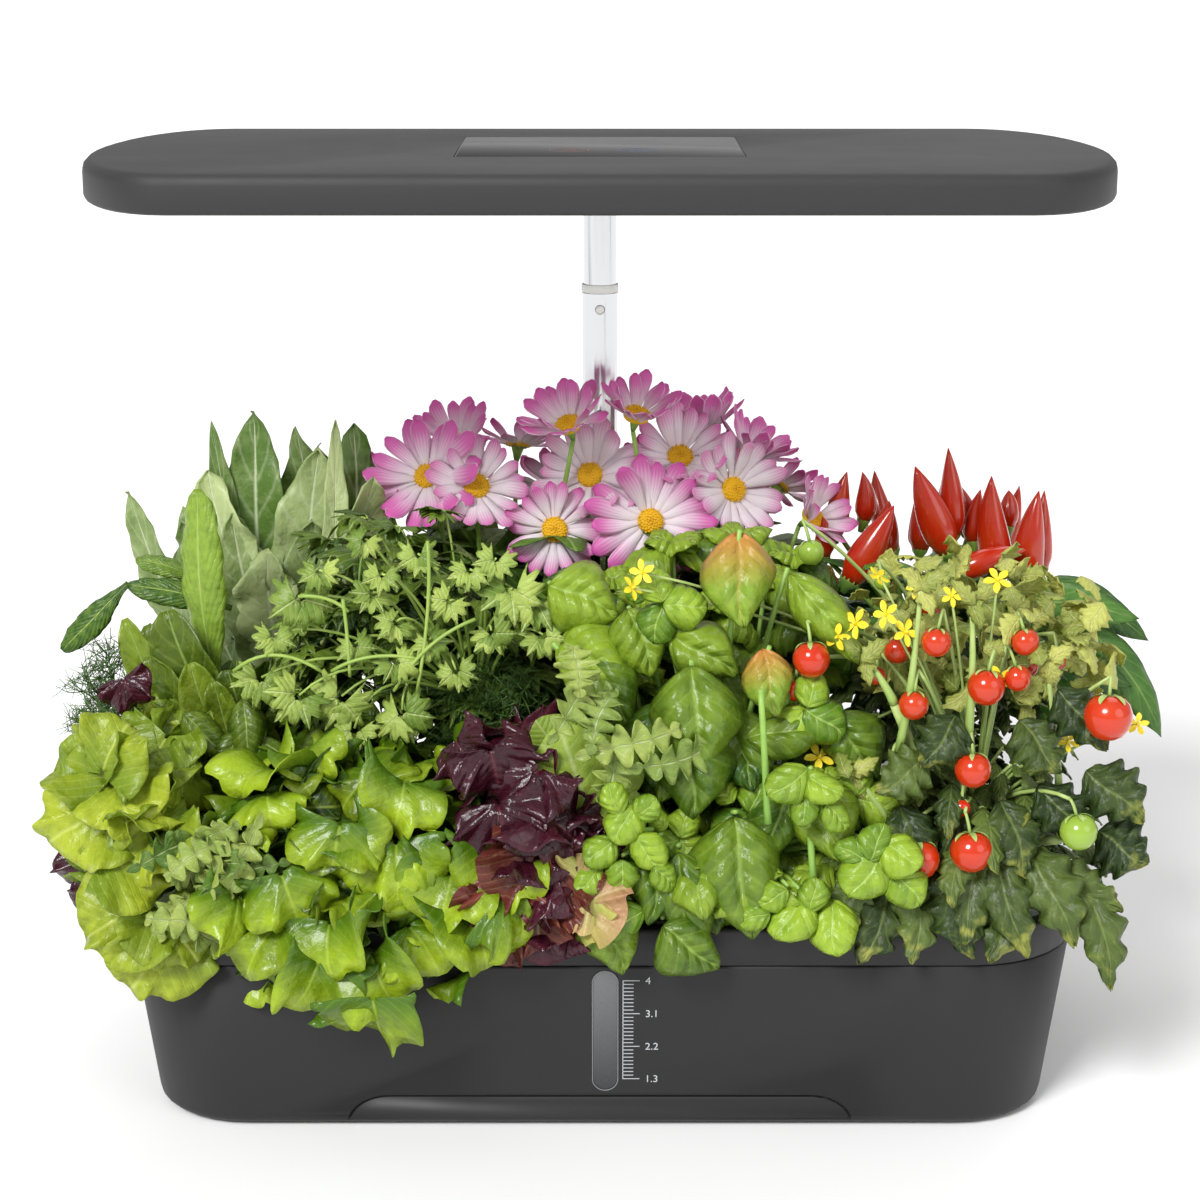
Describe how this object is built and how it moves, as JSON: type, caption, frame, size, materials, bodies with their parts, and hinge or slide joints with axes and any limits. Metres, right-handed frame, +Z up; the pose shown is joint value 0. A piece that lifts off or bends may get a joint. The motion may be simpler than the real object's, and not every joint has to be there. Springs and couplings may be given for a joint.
{
  "type": "countertop hydroponic garden",
  "caption": "Low charcoal water tank with a white planting deck, net baskets of salad, herbs, flowers and fruit, and a wide round-ended grow lamp on a telescopic metal pole.",
  "frame": {"origin": "on the table, under the middle of the tank", "axes": "+X to the right of the front, +Y to the back, +Z up"},
  "size_m": [0.43, 0.244, 0.3707],
  "materials": {
    "tank_plastic": "fine matte charcoal moulding",
    "head_plastic": "fine-grained matte charcoal moulding",
    "white_plastic": "satin white moulding",
    "smoked_plastic": "clear grey window",
    "rubber_foot": "soft black rubber",
    "black_plastic": "satin black moulding",
    "pole_metal": "polished tube",
    "panel_gloss": "glossy grey touch panel",
    "board_white": "white solder mask",
    "board_green": "green solder mask",
    "screw_steel": "zinc-plated steel",
    "lettuce_leaf": "ruffled light green leaf",
    "red_leaf": "frilled purple-red leaf",
    "basil_leaf": "glossy cupped leaf",
    "tomato_leaf": "lobed leaf with red fruit",
    "dark_leaf": "long upright leaf",
    "herb_leaf": "fine cut herb leaf",
    "petal": "magenta and white petals",
    "chili_fruit": "waxy red fruit over leaves"
  },
  "bodies": {
    "tank": {"tank_shell": "tank_plastic", "water_window": "smoked_plastic", "foot_1": "rubber_foot", "foot_2": "rubber_foot", "foot_3": "rubber_foot", "foot_4": "rubber_foot"},
    "deck": {"deck_frame": "tank_plastic", "planting_deck": "white_plastic", "pole_socket": "tank_plastic", "lower_tube": "pole_metal", "pole_collar": "white_plastic", "power_inlet": "black_plastic", "power_housing": "black_plastic", "pump_body": "black_plastic", "intake_cover": "black_plastic", "pump_hanger": "black_plastic", "pump_lead": "rubber_foot"},
    "lamp": {"upper_tube": "pole_metal", "head_top_cover": "head_plastic", "head_bottom_cover": "head_plastic", "touch_panel": "panel_gloss", "led_board": "board_white", "control_board": "board_green", "head_bracket": "black_plastic", "lamp_screw_1": "screw_steel", "lamp_screw_2": "screw_steel", "lamp_screw_3": "screw_steel", "lamp_screw_4": "screw_steel"},
    "button": {"snap_button": "white_plastic"},
    "pump_wheel": {"impeller": "white_plastic"},
    "pod_front_1": {"basket_front_1": "white_plastic", "plant_front_lettuce": "lettuce_leaf"},
    "pod_front_2": {"basket_front_2": "white_plastic", "plant_front_red_lettuce": "red_leaf"},
    "pod_front_3": {"basket_front_3": "white_plastic", "plant_front_basil": "basil_leaf"},
    "pod_front_4": {"basket_front_4": "white_plastic", "plant_front_tomato": "tomato_leaf"},
    "pod_middle_1": {"basket_middle_1": "white_plastic", "plant_middle_romaine": "dark_leaf"},
    "pod_middle_2": {"basket_middle_2": "white_plastic", "plant_middle_cilantro": "herb_leaf"},
    "pod_middle_3": {"basket_middle_3": "white_plastic", "plant_middle_basil": "basil_leaf"},
    "pod_middle_4": {"basket_middle_4": "white_plastic", "plant_middle_tomato": "tomato_leaf"},
    "pod_back_1": {"basket_back_1": "white_plastic", "plant_back_endive": "dark_leaf"},
    "pod_back_2": {"basket_back_2": "white_plastic", "plant_back_chrysanthemum_1": "petal"},
    "pod_back_3": {"basket_back_3": "white_plastic", "plant_back_chrysanthemum_2": "petal"},
    "pod_back_4": {"basket_back_4": "white_plastic", "plant_back_chili": "chili_fruit"}
  },
  "joints": [
    {"name": "deck_lift", "type": "slide", "parent": "tank", "child": "deck", "axis": [0, 0, 1], "range_m": [0, 0.09]},
    {"name": "lamp_height", "type": "slide", "parent": "deck", "child": "lamp", "axis": [0, 0, 1], "range_m": [-0.045, 0]},
    {"name": "button_press", "type": "slide", "parent": "deck", "child": "button", "axis": [0, 1, 0], "range_m": [0, 0.0012], "stiffness_N_per_m": 400},
    {"name": "pump_turn", "type": "hinge", "parent": "deck", "child": "pump_wheel", "pos_m": [0, -0.0173, 0.0212], "axis": [0, 1, 0], "continuous": true},
    {"name": "pod_front_1_lift", "type": "slide", "parent": "deck", "child": "pod_front_1", "axis": [0, 0, 1], "range_m": [0, 0.046]},
    {"name": "pod_front_2_lift", "type": "slide", "parent": "deck", "child": "pod_front_2", "axis": [0, 0, 1], "range_m": [0, 0.046]},
    {"name": "pod_front_3_lift", "type": "slide", "parent": "deck", "child": "pod_front_3", "axis": [0, 0, 1], "range_m": [0, 0.046]},
    {"name": "pod_front_4_lift", "type": "slide", "parent": "deck", "child": "pod_front_4", "axis": [0, 0, 1], "range_m": [0, 0.046]},
    {"name": "pod_middle_1_lift", "type": "slide", "parent": "deck", "child": "pod_middle_1", "axis": [0, 0, 1], "range_m": [0, 0.046]},
    {"name": "pod_middle_2_lift", "type": "slide", "parent": "deck", "child": "pod_middle_2", "axis": [0, 0, 1], "range_m": [0, 0.046]},
    {"name": "pod_middle_3_lift", "type": "slide", "parent": "deck", "child": "pod_middle_3", "axis": [0, 0, 1], "range_m": [0, 0.046]},
    {"name": "pod_middle_4_lift", "type": "slide", "parent": "deck", "child": "pod_middle_4", "axis": [0, 0, 1], "range_m": [0, 0.046]},
    {"name": "pod_back_1_lift", "type": "slide", "parent": "deck", "child": "pod_back_1", "axis": [0, 0, 1], "range_m": [0, 0.046]},
    {"name": "pod_back_2_lift", "type": "slide", "parent": "deck", "child": "pod_back_2", "axis": [0, 0, 1], "range_m": [0, 0.046]},
    {"name": "pod_back_3_lift", "type": "slide", "parent": "deck", "child": "pod_back_3", "axis": [0, 0, 1], "range_m": [0, 0.046]},
    {"name": "pod_back_4_lift", "type": "slide", "parent": "deck", "child": "pod_back_4", "axis": [0, 0, 1], "range_m": [0, 0.046]}
  ]
}
